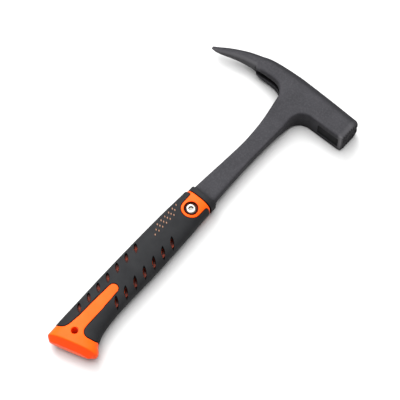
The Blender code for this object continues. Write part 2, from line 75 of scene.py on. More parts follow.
# Head. A table gives (x, value) pairs, from the pick's tip to the striking face.
FACE_X = 60.5
POLL_UNDERSIDE_Y = 300.0
CHEEK_HALF = 12.5
# How high and how deep the crown's rounding is
CROWN_ROUND = [(-95.5, 0.9), (-82.0, 3.0), (-62.0, 4.6), (-42.0, 6.8), (-30.0, 8.0), (-10.0, 9.0),
               (FACE_X, 9.0)]
POLL_EDGE_ROUND = 1.8
# 0 where the section is the pick's oval, and 1 where it is the poll's rounded rectangle
PICK_SQUARED = [(-95.5, 0.0), (-68.0, 0.0), (-48.5, 0.5), (-34.0, 1.0), (FACE_X, 1.0)]
CROWN_LINE = [(-95.5, 304.9), (-90.5, 307.5), (-82.0, 312.6), (-72.0, 317.6), (-62.0, 321.8),
              (-51.0, 325.0), (-41.0, 327.0), (-30.0, 328.2), (-15.0, 328.5), (0.0, 328.3),
              (30.0, 327.2), (60.5, 325.6)]
PICK_UNDERSIDE = [(-95.5, 302.0), (-90.5, 302.2), (-85.0, 303.5), (-75.0, 307.0),
                  (-66.0, 309.5), (-56.0, 311.2), (-48.5, 311.9)]
CLAW_UNDERSIDE = [(-48.5, 309.8), (-44.0, 309.7), (-38.0, 310.2), (-30.0, 310.5), (-24.0, 309.9),
                  (-20.7, 308.8), (-17.5, 306.3), (-14.8, 302.7), (-13.0, 300.0)]
HEAD_HALF_THICKNESS = [(-95.5, 1.0), (-90.5, 2.2), (-82.0, 3.7), (-72.0, 5.1), (-62.0, 6.0),
                       (-52.0, 6.9), (-45.5, 9.0), (-38.0, 9.8), (-30.0, 10.3), (-20.0, 11.4),
                       (-10.0, 12.35), (-4.0, 12.48), (4.0, CHEEK_HALF), (12.0, CHEEK_HALF),
                       (FACE_X, CHEEK_HALF)]
CLAW_START_X = -48.5
CLAW_END_X = -13.0
# Rings that round the edge of the striking face: x, how far in, how far below the crown
FACE_EDGE = [(57.0, 0.0, 0.0), (57.9, 0.1, 0.2), (58.9, 0.4, 0.8), (59.5, 0.7, 1.25),
             (59.9, 1.1, 1.8), (60.3, 1.7, 2.6), (FACE_X, 2.2, 3.4)]
OVAL_POWER = 1.35  # how much the pick's lower quarters are flattened
# Shares of a section's height and of its half thickness that its roundings take
OVAL_TOP = (0.50, 0.62)
OVAL_UNDERSIDE = (0.38, 0.50)
CROWN_MOST = (0.55, 0.72)
UNDERSIDE_MOST = (0.25, 0.50)
CROWN_THROUGH = 0.75  # depth of the crown's rounding as a share of its height
FACE_LEAN = 0.03  # how much the face leans back for each millimetre below the crown
BAR_STEP = 1.5
CROWN_STEPS = 10
UNDERSIDE_STEPS = 7

# Claw slot, nail groove, poll pad and milled face
CLAW_SLOT_FLOOR = [(-51.0, 312.0), (-44.0, 315.4), (-36.0, 317.3), (-27.0, 317.6), (-20.0, 315.5),
                   (-16.2, 311.0), (-15.2, 306.0)]
CLAW_SLOT_HALF_FRONT = 4.0
CLAW_SLOT_HALF_BACK = 2.6
CLAW_SLOT_BOTTOM_Y = 296.0
CLAW_SLOT_STEP = 1.2
GROOVE_HALF_WIDTH = 2.7
GROOVE_DEPTH = 4.2
GROOVE_FALL = 0.05  # how fast its floor drops below the crown towards the face
GROOVE_FLOOR_ROUND = 0.5  # how round its floor is, where 1 is a half circle
GROOVE_OPEN = 4.0  # how far its cutter stands above the crown
GROOVE_START_X = 24.0
GROOVE_STOP_HALF = 4.5
GROOVE_STOP_LENGTH = 3.5
MAGNET_X = 44.0
MAGNET_RADIUS = 1.9
MAGNET_HEIGHT = 6.0
MAGNET_PLAY = 0.15
MAGNET_RIM = [(0.25, 0.0), (0.07, -0.07), (0.0, -0.25)]  # how far in, and how high
MAGNET_FOOT = 0.2  # clearance under it
PAD_CENTRE_X = 44.0
PAD_LENGTH = 23.0
PAD_DEPTH = 1.0
PAD_WIDTH = 13.0
MILL_PITCH = 2.6
MILL_HALF_WIDTH = 0.95
MILL_DEPTH = 1.1
MILL_LINES = 10
MILL_REACH = 16.0  # half the length of each line, which runs past the face's edges

# Shank: height, left edge, right edge, half thickness at the left and at the right, edge radius
SHANK = [(56.0, -7.0, 5.0, 3.6, 3.6, 1.5), (60.0, -7.8, 5.8, 4.0, 4.0, 1.5),
         (110.0, -9.2, 7.2, 4.6, 4.6, 1.5), (150.0, -10.8, 8.8, 5.0, 5.0, 1.6),
         (174.0, -13.2, 10.0, 5.2, 5.2, 3.4), (184.0, -13.0, 9.9, 5.2, 5.2, 3.4),
         (200.0, -11.7, 9.0, 5.0, 5.0, 2.6), (215.0, -10.4, 8.5, 5.0, 5.0, 1.9),
         (230.0, -9.3, 8.2, 5.0, 5.0, 1.6), (246.0, -8.5, 8.4, 5.0, 5.0, 1.5),
         (260.0, -9.0, 8.8, 5.1, 5.2, 1.5), (270.0, -9.7, 9.3, 5.5, 5.9, 1.6),
         (278.0, -10.6, 9.9, 6.2, 7.1, 1.8)]
SHANK_FILLET_RADIUS = 13.5
SHANK_ROOT_Y = 306.0
SHANK_LEFT_AT_HEAD = [(278.0, -10.6), (286.0, -11.5), (296.0, -12.6), (SHANK_ROOT_Y, -12.8)]
SHANK_THICK_AT_LEFT = [(278.0, 6.2), (290.0, 9.3), (300.0, 12.0), (SHANK_ROOT_Y, 11.4)]
SHANK_THICK_AT_RIGHT = [(278.0, 7.1), (290.0, 10.5), (300.0, 12.4), (SHANK_ROOT_Y, 12.2)]
SHANK_STEP = 2.0
SHANK_EDGE_AT_HEAD = 1.8
FILLET_STEP = 0.9
FILLET_OUT = 0.4  # how far right of the shank's edge the fillet starts
FILLET_STOP = 0.2  # how far below the poll the fillet's last ring is
EDGE_STEPS = 5
ROUGH_VOXEL = 0.65  # grain of the first remesh, which joins shank and head
ROUGH_ROUNDS = 1
ROOT_ROUNDS = 12
ROOT_CENTRE = (0.0, 298.0)  # where the join of shank and head is smoothed most

# Handle: height on the screw's axis, left edge, right edge, half thickness, end slope
HANDLE = [(-2.0, -17.9, 27.6, 12.8, 0.30), (3.0, -18.0, 26.3, 12.8, 0.29),
          (8.0, -18.1, 23.2, 12.5, 0.24), (15.0, -18.3, 19.8, 12.35, 0.17),
          (25.0, -18.4, 16.8, 12.3, 0.09), (40.0, -18.5, 14.7, 12.25, 0.03),
          (60.0, -18.8, 14.1, 12.2, 0.0), (100.0, -18.7, 14.6, 12.2, 0.0),
          (140.0, -17.9, 13.7, 11.9, 0.0), (168.0, -16.6, 12.7, 11.6, 0.0),
          (178.0, -16.2, 12.3, 11.5, 0.0)]
# Rings that bevel the butt: height, and how far in through the thickness
BUTT_EDGE = [(-5.7, 9.6), (-5.4, 8.4), (-4.8, 7.1), (-3.6, 4.8), (-2.4, 2.5), (-1.3, 0.5),
             (-0.6, 0.0)]
BUTT_SIDE_SHARE = 0.55  # the bevel across the handle's width, as a share of the one through it
HANDLE_SIDES = 120
HANDLE_SQUARENESS = 2.6
HANDLE_STEP = 2.0
GRIP_TOP_Y = 172.0
CORE_TOP_Y = 174.2
CORE_NECK_INSET = 1.0
GRIP_THICKNESS = 2.2
PANEL_SINK = 0.3
PANEL_STOP = 0.5  # how far below the core's top the raised panels stop
INSIDE_PAST = 4.0  # how far the grip's hollow runs on past the core

# Panels, windows and studs
ESCUTCHEON_RADIUS = 9.0
ESCUTCHEON_SHOULDER = 2.2
OUTLINE_PAST = 6.0  # how far the panel's outline runs on past the top of the core
BUTT_PAST_Y = -40.0  # how far the stripe's outline runs on past the butt
STRIPE_TOP = (-0.7, 60.0)
STRIPE_TOP_RADIUS = 4.4
STRIPE_LEFT = [(-6.0, 40.0), (-6.3, 24.0), (-6.9, 17.5), (-7.5, 13.2), (-8.3, 10.0), (-9.7, 7.4),
               (-12.4, 5.5), (-15.9, 4.6), (-30.0, 2.0)]
STRIPE_RIGHT = [(4.6, 40.0), (5.0, 20.0), (5.6, 16.1), (7.6, 13.3), (10.8, 12.1), (14.1, 12.7),
                (19.0, 14.7), (20.2, 16.8), (22.0, 19.5), (40.0, 30.0)]
SLANT = math.radians(-42.0)
WINDOW_LENGTH = 11.8
WINDOW_WIDTH = 3.5
WINDOW_PITCH = 12.15
WINDOW_COUNT = 7
# x, and the height of the lowest one, of each column
WINDOW_COLUMNS = [(-12.0, 28.6), (10.2, 52.1)]
WINDOW_FLOOR_SHARE = 0.78  # a window's size at its floor, as a share of its mouth's
WINDOW_SINK = 2.4  # how far each window goes on into the hard core
WINDOW_BELOW_GRIP = 3.0  # how far each window's cutter runs on below the grip
WINDOW_ABOVE = 4.0  # how far it stands above the grip, and its size there
WINDOW_SIZE_ABOVE = 1.3
WINDOW_POINT = 0.5  # how pointed the ends of a window are
STUD_LENGTH = 2.2
STUD_WIDTH = 1.2
STUD_POINT = 0.1
# Rings of a stud: height over the grip's surface, and size
STUD_RINGS = [(-0.85, 1.0), (-0.25, 1.0), (0.0, 0.93), (0.15, 0.7)]
PIT_LENGTH = 2.7
PIT_WIDTH = 1.6
PIT_DEPTH = 0.9
PIT_TOP_Z = 16.0
STUD_PITCH = 5.0
STUD_COUNT = 6
STUD_COLUMNS = [(-12.0, 130.4), (-9.2, 125.6), (-6.5, 121.3)]

# Lanyard hole, collar, screw and sleeve nut
LANYARD_AT = (0.0, 10.0)
LANYARD_RADIUS = 3.2
COLLAR_BOTTOM_Y = 174.5
COLLAR_TOP_Y = 182.0
COLLAR_EDGES = (-15.0, 12.8)
COLLAR_HALF = 11.3
COLLAR_DIP = 2.8
COLLAR_ROUND = 2.4
COLLAR_ROUND_IN = 0.75  # how far the rounding goes in, as a share of its height
COLLAR_CHAMFER = 0.3
COLLAR_BORE = (165.0, 190.0)
COLLAR_VOXEL = 0.4
COLLAR_ROUNDS = 3
HEAD_RADIUS = 5.25
HEAD_UNDERSIDE_Z = 8.3
HEAD_TOP_Z = 10.9
HEAD_RIM = 0.55  # height of the rim under the dome
HEAD_RIM_ROUND = 0.15
HEAD_CHAMFER = 0.12
HEAD_LAND = 0.5  # flat ring round the socket
HEAD_RECESS_RADIUS = 6.5
SCREW_RADIUS = 3.0
SCREW_END_Z = -6.0
SCREW_CHAMFER = 0.6
NUT_RADIUS = 4.2
NUT_END_Z = 6.6
NUT_WALL = 2.0  # between the nut's socket and its bore
SOCKET_RADIUS = 2.3
SOCKET_DEPTH = 1.9
# Rings of the socket's chamfered mouth: height over the head's top, and radius
MOUTH_RINGS = [(-0.45, SOCKET_RADIUS * 0.8), (0.1, SOCKET_RADIUS + 0.35),
               (CUT_PAST, SOCKET_RADIUS + 0.35)]

# Camera, floor and light
CAMERA_AZIMUTH = math.radians(40.4)
CAMERA_ELEVATION = math.radians(64.5)
CAMERA_DISTANCE = 1.421
CAMERA_AIM = (-2.1, 176.3, 0.0)
CAMERA_LENS = 144.0
CAMERA_SENSOR = 36.0
CAMERA_CLIP = (0.05, 20.0)
FLOOR_SIZE = 8.0
FLOOR_DROP = 0.05  # millimetres between the floor and the hammer
WORLD_AT_HORIZON = 0.15
WORLD_OVERHEAD = 0.93
# Suns: strength, azimuth, elevation, and how wide the disc looks, with angles in degrees
KEY_SUN = (3.2, -120.0, 46.0, 38.0)
OVERHEAD_SUN = (3.8, -102.0, 84.0, 50.0)

screw_low, screw_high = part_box("clamp_screw")
head_low, head_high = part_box("forged_head")
ORIGIN = Vector(((screw_low.x + screw_high.x) / 2 - SCREW_AT[0] * MM,
                 (screw_low.y + screw_high.y) / 2 - SCREW_AT[1] * MM,
                 (head_low.z + head_high.z) / 2))


# -------------------- curves through tables

def smooth_value(table, at):
    """Value at a station, on a cubic through the table's (station, value) pairs."""
    if at <= table[0][0]:
        return table[0][1]
    if at >= table[-1][0]:
        return table[-1][1]
    last = len(table) - 1
    slopes = []
    for i in range(len(table)):
        before = table[max(i - 1, 0)]
        after = table[min(i + 1, last)]
        slopes.append((after[1] - before[1]) / (after[0] - before[0]))
    i = max(k for k in range(last) if table[k][0] <= at)
    x0, y0 = table[i]
    x1, y1 = table[i + 1]
    span = x1 - x0
    t = (at - x0) / span
    start = (2 * t**3 - 3 * t**2 + 1) * y0 + (t**3 - 2 * t**2 + t) * span * slopes[i]
    return start + (3 * t**2 - 2 * t**3) * y1 + (t**3 - t**2) * span * slopes[i + 1]


def smooth_row(rows, at):
    return [smooth_value([(row[0], row[k]) for row in rows], at) for k in range(1, len(rows[0]))]


def spaced(start, end, step):
    """Evenly spaced stations from start to end, both included, about a step apart."""
    count = max(1, round(abs(end - start) / step))
    return [start + (end - start) * k / count for k in range(count + 1)]


# -------------------- shapes, in millimetres

def add_object(name, data):
    thing = bpy.data.objects.new(name, data)
    bpy.context.scene.collection.objects.link(thing)
    return thing


def object_from_mesh(name, bm):
    mesh = bpy.data.meshes.new(name)
    bm.to_mesh(mesh)
    bm.free()
    return add_object(name, mesh)


def loft(name, rings):
    """A closed skin over rings with the same number of points, with flat ends."""
    bm = bmesh.new()
    loops = [[bm.verts.new(point) for point in ring] for ring in rings]
    count = len(loops[0])
    for lower, upper in zip(loops, loops[1:]):
        for k in range(count):
            after = (k + 1) % count
            bm.faces.new((lower[k], lower[after], upper[after], upper[k]))
    bm.faces.new(loops[0])
    bm.faces.new(loops[-1])
    bmesh.ops.recalc_face_normals(bm, faces=bm.faces)
    return object_from_mesh(name, bm)


def prism(name, outline, low_z, high_z):
    """A flat outline in X and Y, stretched between two heights."""
    return loft(name, [[(x, y, z) for x, y in outline] for z in (low_z, high_z)])


def round_outline(radius, at, sides=64):
    return [(at[0] + radius * math.cos(2 * math.pi * k / sides),
             at[1] + radius * math.sin(2 * math.pi * k / sides)) for k in range(sides)]


def rod(name, radius, low_z, high_z, at, sides=64):
    return prism(name, round_outline(radius, at, sides), low_z, high_z)


def turned(name, profile, at, sides=64):
    """A profile of (radius, height) pairs turned about a vertical axis. Both ends lie on the axis."""
    bm = bmesh.new()
    points = [bm.verts.new((radius, 0.0, height)) for radius, height in profile]
    for above, below in zip(points, points[1:]):
        bm.edges.new((above, below))
    bmesh.ops.spin(bm, geom=bm.verts[:] + bm.edges[:], cent=(0, 0, 0), axis=(0, 0, 1),
                   angle=2 * math.pi, steps=sides)
    bmesh.ops.remove_doubles(bm, verts=bm.verts, dist=0.001)
    bmesh.ops.recalc_face_normals(bm, faces=bm.faces)
    bmesh.ops.translate(bm, verts=bm.verts, vec=(at[0], at[1], 0.0))
    return object_from_mesh(name, bm)


def settle(thing):
    """Replace a shape's mesh by what its modifiers make of it."""
    bpy.context.view_layer.update()
    graph = bpy.context.evaluated_depsgraph_get()
    mesh = bpy.data.meshes.new_from_object(thing.evaluated_get(graph))
    thing.modifiers.clear()
    thing.data = mesh
    return thing


def combine(thing, operation, *others):
    """Join or cut a shape with others, which are used up."""
    for other in others:
        step = thing.modifiers.new("combine", "BOOLEAN")
        step.operation = operation
        step.solver = "MANIFOLD"
        step.object = other
    settle(thing)
    for other in others:
        bpy.data.objects.remove(other, do_unlink=True)
    return thing


def soften(thing, voxel, rounds):
    """Remesh a shape evenly and relax it, so that its edges and joins become soft."""
    step = thing.modifiers.new("remesh", "REMESH")
    step.mode = "VOXEL"
    step.voxel_size = voxel
    step = thing.modifiers.new("relax", "SMOOTH")
    step.factor = 0.5
    step.iterations = rounds
    return settle(thing)


def relax(thing, rounds, weight):
    """Smooth a shape by a different share at each point."""
    group = thing.vertex_groups.new(name="relax")
    for vertex in thing.data.vertices:
        group.add([vertex.index], weight(vertex.co), "REPLACE")
    step = thing.modifiers.new("relax", "SMOOTH")
    step.factor = 0.5
    step.iterations = rounds
    step.vertex_group = "relax"
    settle(thing)
    thing.vertex_groups.clear()
    return thing


def place(thing, material, slot, *nodes, sharp=35.0):
    """Put a finished shape where the CAD model has it, with its material."""
    thing.data.transform(Matrix.Translation(ORIGIN) @ Matrix.Scale(MM, 4))
    thing.data.materials.clear()
    thing.data.materials.append(material)
    thing.data.shade_smooth()
    thing.data.set_sharp_from_angle(angle=math.radians(sharp))
    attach(thing, "root")
    if nodes:
        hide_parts(*nodes)
    return thing


# -------------------- forged head

def corner(centre_a, centre_b, radius_a, radius_b, start, steps, power=1.0):
    """Points along a quarter ellipse, from a start angle counted in quarter turns.

    A power above 1 flattens the quarter towards a straight chamfer.
    """
    points = []
    for k in range(steps + 1):
        angle = math.pi / 2 * (start + k / steps)
        across = math.copysign(abs(math.cos(angle)) ** power, math.cos(angle))
        along = math.copysign(abs(math.sin(angle)) ** power, math.sin(angle))
        points.append((centre_a + radius_a * across, centre_b + radius_b * along))
    return points


def blend(share, first, second):
    return first + (second - first) * share


def head_ring(x, low_y, inset=0.0, crown_drop=0.0):
    """Section of the head bar at x: an oval at the pick, and a rounded rectangle at the poll."""
    half = smooth_value(HEAD_HALF_THICKNESS, x) - inset
    low_y += inset
    high_y = smooth_value(CROWN_LINE, x) - crown_drop
    height = high_y - low_y
    squared = smooth_value(PICK_SQUARED, x)
    crown = smooth_value(CROWN_ROUND, x)
    top_y = blend(squared, OVAL_TOP[0] * height, min(crown, CROWN_MOST[0] * height))
    top_z = blend(squared, OVAL_TOP[1] * half, min(CROWN_THROUGH * crown, CROWN_MOST[1] * half))
    low_y_round = blend(squared, OVAL_UNDERSIDE[0] * height,
                        min(POLL_EDGE_ROUND, UNDERSIDE_MOST[0] * height))
    low_z = blend(squared, OVAL_UNDERSIDE[1] * half, min(POLL_EDGE_ROUND, UNDERSIDE_MOST[1] * half))
    power = blend(squared, OVAL_POWER, 1.0)
    top = high_y - top_y
    foot = low_y + low_y_round
    points = corner(half - top_z, top, top_z, top_y, 0, CROWN_STEPS)
    points += corner(-half + top_z, top, top_z, top_y, 1, CROWN_STEPS)
    points += corner(-half + low_z, foot, low_z, low_y_round, 2, UNDERSIDE_STEPS, power)
    points += corner(half - low_z, foot, low_z, low_y_round, 3, UNDERSIDE_STEPS, power)
    return [(x, y, z) for z, y in points]


def head_bar():
    start = CROWN_LINE[0][0]
    rings = [head_ring(x, smooth_value(PICK_UNDERSIDE, x))
             for x in spaced(start, CLAW_START_X - NEXT, BAR_STEP)]
    rings += [head_ring(x, smooth_value(CLAW_UNDERSIDE, x))
              for x in spaced(CLAW_START_X, CLAW_END_X, BAR_STEP)]
    rings += [head_ring(x, POLL_UNDERSIDE_Y)
              for x in spaced(CLAW_END_X + BAR_STEP, FACE_EDGE[0][0] - BAR_STEP, BAR_STEP)]
    crown = smooth_value(CROWN_LINE, FACE_X)
    for x, inset, drop in FACE_EDGE:
        ring = head_ring(x, POLL_UNDERSIDE_Y, inset, drop)
        rings.append([(px - FACE_LEAN * (crown - y), y, z) for px, y, z in ring])
    return loft("forging", rings)


def shank_ring(y, left, right, half_left, half_right, edge):
    """Section of the shank at y, thicker on one side than on the other near the head."""
    points = corner(right - edge, half_right - edge, edge, edge, 0, EDGE_STEPS)
    points += corner(left + edge, half_left - edge, edge, edge, 1, EDGE_STEPS)
    points += corner(left + edge, edge - half_left, edge, edge, 2, EDGE_STEPS)
    points += corner(right - edge, edge - half_right, edge, edge, 3, EDGE_STEPS)
    return [(x, y, z) for x, z in points]


def shank():
    """The shank, with a fillet that runs it into the poll's underside."""
    foot, top = SHANK[0][0], SHANK[-1][0]
    rings = [shank_ring(y, *smooth_row(SHANK, y)) for y in spaced(foot, top, SHANK_STEP)]
    centre_x = SHANK[-1][2] + FILLET_OUT + SHANK_FILLET_RADIUS
    centre_y = POLL_UNDERSIDE_Y - SHANK_FILLET_RADIUS
    for y in spaced(centre_y, POLL_UNDERSIDE_Y - FILLET_STOP, FILLET_STEP) + [SHANK_ROOT_Y]:
        rise = min(y - centre_y, SHANK_FILLET_RADIUS)
        right = centre_x - math.sqrt(SHANK_FILLET_RADIUS**2 - rise**2)
        rings.append(shank_ring(y, smooth_value(SHANK_LEFT_AT_HEAD, y), right,
                                smooth_value(SHANK_THICK_AT_LEFT, y),
                                smooth_value(SHANK_THICK_AT_RIGHT, y), SHANK_EDGE_AT_HEAD))
    return loft("shank", rings)


def claw_slot():
    """Cutter of the slot between the claw's two tines, narrower towards the shank."""
    rings = []
    first = CLAW_SLOT_FLOOR[0][0]
    length = CLAW_SLOT_FLOOR[-1][0] - first
    low = CLAW_SLOT_BOTTOM_Y
    for x in spaced(first, first + length, CLAW_SLOT_STEP):
        half = blend((x - first) / length, CLAW_SLOT_HALF_FRONT, CLAW_SLOT_HALF_BACK)
        floor = smooth_value(CLAW_SLOT_FLOOR, x)
        rings.append([(x, low, -half), (x, low, half), (x, floor, half), (x, floor, -half)])
    return loft("claw_slot", rings)


def nail_groove():
    """Round-bottomed channel along the crown with a wider stop for the nail's head."""
    rings = []
    stop_end = GROOVE_START_X + GROOVE_STOP_LENGTH
    for x, half in [(GROOVE_START_X, GROOVE_STOP_HALF), (stop_end, GROOVE_STOP_HALF),
                    (stop_end + NEXT, GROOVE_HALF_WIDTH), (FACE_X + CUT_PAST, GROOVE_HALF_WIDTH)]:
        crown = smooth_value(CROWN_LINE, x)
        floor = crown - GROOVE_DEPTH - GROOVE_FALL * (x - GROOVE_START_X)
        arc = [(x, floor + half * GROOVE_FLOOR_ROUND * (1.0 - math.cos(a)), half * math.sin(a))
               for a in [math.pi / 2 * k / 8 for k in range(-8, 9)]]
        rings.append(arc + [(x, crown + GROOVE_OPEN, half), (x, crown + GROOVE_OPEN, -half)])
    return loft("nail_groove", rings)


def upright(thing, x, y):
    """Lay a shape made about the Z axis along +Y, with its own zero at x, y."""
    thing.data.transform(Matrix.Translation((x, y, 0.0)) @ Matrix.Rotation(-math.pi / 2, 4, "X"))
    return thing


def face_x(y):
    """Where the leaning striking face is at a height."""
    return FACE_X - FACE_LEAN * (smooth_value(CROWN_LINE, FACE_X) - y)


def mill_lines(across):
    """One set of parallel grooves of the milled face, either along Y or across it along Z."""
    middle = (POLL_UNDERSIDE_Y + smooth_value(CROWN_LINE, FACE_X)) / 2
    grooves = []
    for k in range(MILL_LINES):
        at = (k - (MILL_LINES - 1) / 2) * MILL_PITCH
        section = [(CUT_PAST, -MILL_HALF_WIDTH), (0.0, -MILL_HALF_WIDTH), (-MILL_DEPTH, 0.0),
                   (0.0, MILL_HALF_WIDTH), (CUT_PAST, MILL_HALF_WIDTH)]
        rings = []
        for end in (-MILL_REACH, MILL_REACH):
            if across:
                rings.append([(face_x(middle + at + s) + out, middle + at + s, end)
                              for out, s in section])
            else:
                rings.append([(face_x(middle + end) + out, middle + end, at + s)
                              for out, s in section])
        grooves.append(loft("mill_line", rings))
    return grooves


def root_share(point):
    """1 where the shank runs into the head and where the claw starts, fading to a little elsewhere."""
    from_root = math.dist((point.x, point.y), ROOT_CENTRE)
    from_claw = abs(point.x - CLAW_START_X)
    return min(1.0, max(0.12, 1.6 - from_root / 25.0, 1.2 - from_claw / 7.0))


def magnet_y():
    """Height of the nail groove's floor at the magnet."""
    fall = GROOVE_FALL * (MAGNET_X - GROOVE_START_X)
    return smooth_value(CROWN_LINE, MAGNET_X) - GROOVE_DEPTH - fall


def make_forging(material):
    head = combine(head_bar(), "UNION", shank())
    soften(head, ROUGH_VOXEL, ROUGH_ROUNDS)
    relax(head, ROOT_ROUNDS, root_share)
    seat = upright(rod("seat", MAGNET_RADIUS + MAGNET_PLAY, -MAGNET_HEIGHT, CUT_PAST, (0, 0)),
                   MAGNET_X, magnet_y())
    left, right = PAD_CENTRE_X - PAD_LENGTH / 2, PAD_CENTRE_X + PAD_LENGTH / 2
    low, high = POLL_UNDERSIDE_Y - CUT_PAST, POLL_UNDERSIDE_Y + PAD_DEPTH
    pad = prism("pad", [(left, low), (right, low), (right, high), (left, high)],
                -PAD_WIDTH / 2, PAD_WIDTH / 2)
    hole = rod("hole", NUT_RADIUS + GAP, -CUT_Z, CUT_Z, SCREW_AT)
    combine(head, "DIFFERENCE", claw_slot(), nail_groove(), seat, pad, hole)
    soften(head, FINE_VOXEL, FINE_ROUNDS)
    combine(head, "DIFFERENCE", *mill_lines(False))
    combine(head, "DIFFERENCE", *mill_lines(True))
    return place(head, material, "coated_steel", "forged_head")


def make_magnet(material):
    """Round magnet in the nail groove's floor, with a rounded rim."""
    foot = -MAGNET_HEIGHT + MAGNET_FOOT
    rim = [(MAGNET_RADIUS - inset, y) for inset, y in MAGNET_RIM]
    profile = [(0.0, 0.0), *rim, (MAGNET_RADIUS, foot), (0.0, foot)]
    magnet = upright(turned("groove_magnet", profile, (0, 0), sides=48), MAGNET_X, magnet_y())
    return place(magnet, material, "magnet", "nail_magnet")


# -------------------- handle

def superellipse(angle):
    """Point of a unit superellipse in the direction of an angle."""
    power = 2 / HANDLE_SQUARENESS
    across = math.copysign(abs(math.cos(angle)) ** power, math.cos(angle))
    through = math.copysign(abs(math.sin(angle)) ** power, math.sin(angle))
    return across, through


def handle_ring(y, inset, bevel=0.0):
    """Section of the handle at y, set in evenly and then bevelled as the butt is."""
    left, right, half, slope = smooth_row(HANDLE, y)
    centre = (left + right) / 2
    wide = (right - left) / 2 - inset - bevel * BUTT_SIDE_SHARE
    ring = []
    for k in range(HANDLE_SIDES):
        across, through = superellipse(2 * math.pi * k / HANDLE_SIDES)
        x = centre + wide * across
        ring.append((x, y + slope * x, (half - inset - bevel) * through))
    return ring


def handle_rings(inset, top):
    """Sections from the bevelled butt to a height, all set in from the handle's outline."""
    rings = [handle_ring(y + inset, inset, bevel) for y, bevel in BUTT_EDGE]
    straight_y = BUTT_EDGE[-1][0] + inset + HANDLE_STEP
    rings += [handle_ring(y, inset) for y in spaced(straight_y, top, HANDLE_STEP)]
    return rings


def handle_surface_z(x, y):
    """Height of the grip's surface over a point of the cheek, where the handle has no end slope."""
    left, right, half, _ = smooth_row(HANDLE, y)
    share = abs(2 * x - left - right) / (right - left)
    return half * (1 - share**HANDLE_SQUARENESS) ** (1 / HANDLE_SQUARENESS)


def offset_line(points, grow, side):
    """A line of points moved sideways by a distance, to the left or the right of the stripe."""
    moved = []
    for i, (x, y) in enumerate(points):
        before = points[max(i - 1, 0)]
        after = points[min(i + 1, len(points) - 1)]
        along = Vector((after[0] - before[0], after[1] - before[1])).normalized()
        moved.append((x - side * along.y * grow, y + side * along.x * grow))
    return moved


def rounded_line(points):
    """A finer line through points, on a cubic by distance along them."""
    along = [0.0]
    for before, after in zip(points, points[1:]):
        along.append(along[-1] + math.dist(before, after))
    xs = [(s, x) for s, (x, _) in zip(along, points)]
    ys = [(s, y) for s, (_, y) in zip(along, points)]
    return [(smooth_value(xs, s), smooth_value(ys, s)) for s in spaced(0.0, along[-1], 1.0)]


def escutcheon_outline(grow):
    """Panel round the screw: a half circle below, and sides that flare at the neck."""
    x, y = SCREW_AT
    radius = ESCUTCHEON_RADIUS + grow
    points = [(x + radius * math.cos(a), y + radius * math.sin(a))
              for a in [-math.pi * k / 40 for k in range(41)]]
    shoulder = ESCUTCHEON_SHOULDER - grow
    for side in (-1, 1):
        centre = (x + side * (radius + shoulder), GRIP_TOP_Y - ESCUTCHEON_SHOULDER)
        flare = [(centre[0] - side * shoulder * math.cos(a), centre[1] + shoulder * math.sin(a))
                 for a in [math.pi / 2 * k / 10 for k in range(11)]]
        flare.append((centre[0], CORE_TOP_Y + OUTLINE_PAST))
        points = points + flare if side < 0 else points + flare[::-1]
    return points


def stripe_outline(grow):
    """Stripe up the cheek that widens into the whole butt."""
    x, y = STRIPE_TOP
    radius = STRIPE_TOP_RADIUS + grow
    points = [(x + radius * math.cos(a), y + radius * math.sin(a))
              for a in [math.pi * k / 24 for k in range(25)]]
    points += rounded_line(offset_line(STRIPE_LEFT, grow, -1))
    points += [(STRIPE_LEFT[-1][0], BUTT_PAST_Y), (STRIPE_RIGHT[-1][0], BUTT_PAST_Y)]
    points += rounded_line(offset_line(STRIPE_RIGHT, grow, 1))[::-1]
    return points


def lens(x, y, length, width, power):
    """A lens slanted down towards the striking face, more pointed with a higher power."""
    points = []
    for k in range(40):
        angle = 2 * math.pi * k / 40
        along = length / 2 * math.cos(angle)
        across = width / 2 * math.sin(angle) * abs(math.sin(angle)) ** power
        points.append((x + along * math.cos(SLANT) - across * math.sin(SLANT),
                       y + along * math.sin(SLANT) + across * math.cos(SLANT)))
    return points


def both_cheeks(name, outline, low_z, high_z):
    """A prism over the near cheek, and its mirror image under the far one."""
    return [prism(name, outline, low_z, high_z), prism(name, outline, -high_z, -low_z)]


def window_cutters(depth):
    """Lens-shaped pits with sloping walls, narrowed at a depth below the grip's surface."""
    cutters = []
    for x, first in WINDOW_COLUMNS:
        for y in [first + i * WINDOW_PITCH for i in range(WINDOW_COUNT)]:
            surface = handle_surface_z(x, y)
            sizes = [(surface - depth, WINDOW_FLOOR_SHARE),
                     (surface - GRIP_THICKNESS, WINDOW_FLOOR_SHARE),
                     (surface, 1.0), (surface + WINDOW_ABOVE, WINDOW_SIZE_ABOVE)]
            for side in (-1, 1):
                rings = []
                for z, size in sizes:
                    outline = lens(x, y, WINDOW_LENGTH * size, WINDOW_WIDTH * size, WINDOW_POINT)
                    rings.append([(px, py, side * z) for px, py in outline])
                cutters.append(loft("window", rings))
    return cutters


def stud_places():
    for x, first in STUD_COLUMNS:
        for i in range(STUD_COUNT):
            yield x, first + i * STUD_PITCH


